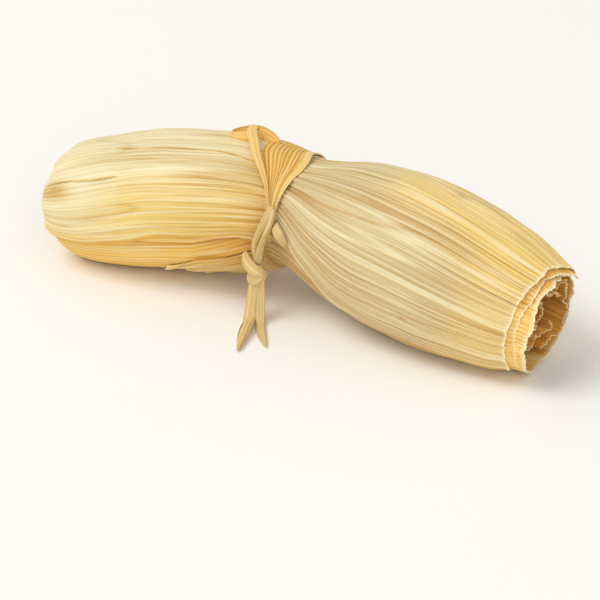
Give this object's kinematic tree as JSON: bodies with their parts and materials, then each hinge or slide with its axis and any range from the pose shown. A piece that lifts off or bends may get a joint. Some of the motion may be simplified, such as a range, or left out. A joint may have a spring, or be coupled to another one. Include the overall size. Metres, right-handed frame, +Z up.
{
  "type": "tamale",
  "caption": "Tamale wrapped in dried corn husk, pinched and knotted round its waist with a husk strip, folded shut at one end and open in ragged husk layers at the other.",
  "frame": {"origin": "middle of the bounding box's underside, on the surface the tamale rests on", "axes": "+X from the folded end to the open end, +Z up, -Y towards the side where the tie is knotted"},
  "size_m": [0.205, 0.0862, 0.0623],
  "materials": {
    "filled_dough": "dull dough in its thin inner husk",
    "husk_straw": "dried husk, straw yellow, satin, finely ribbed",
    "husk_pale": "dried husk, pale cream, satin, finely ribbed",
    "husk_amber": "dried husk, amber yellow, satin, finely ribbed"
  },
  "bodies": {
    "root": {"filled_bundle": "filled_dough", "left_back_husk": "husk_straw", "left_lower_husk": "husk_amber", "left_front_husk": "husk_straw", "left_fold_husk": "husk_straw", "left_top_husk": "husk_pale", "left_loose_husk": "husk_straw", "right_inner_husk": "husk_straw", "right_under_husk": "husk_amber", "right_back_husk": "husk_straw", "right_front_husk": "husk_pale", "right_top_husk": "husk_straw", "rolled_husk_outer": "husk_straw", "rolled_husk_middle": "husk_amber", "rolled_husk_inner": "husk_amber", "husk_tie": "husk_amber"}
  },
  "joints": []
}
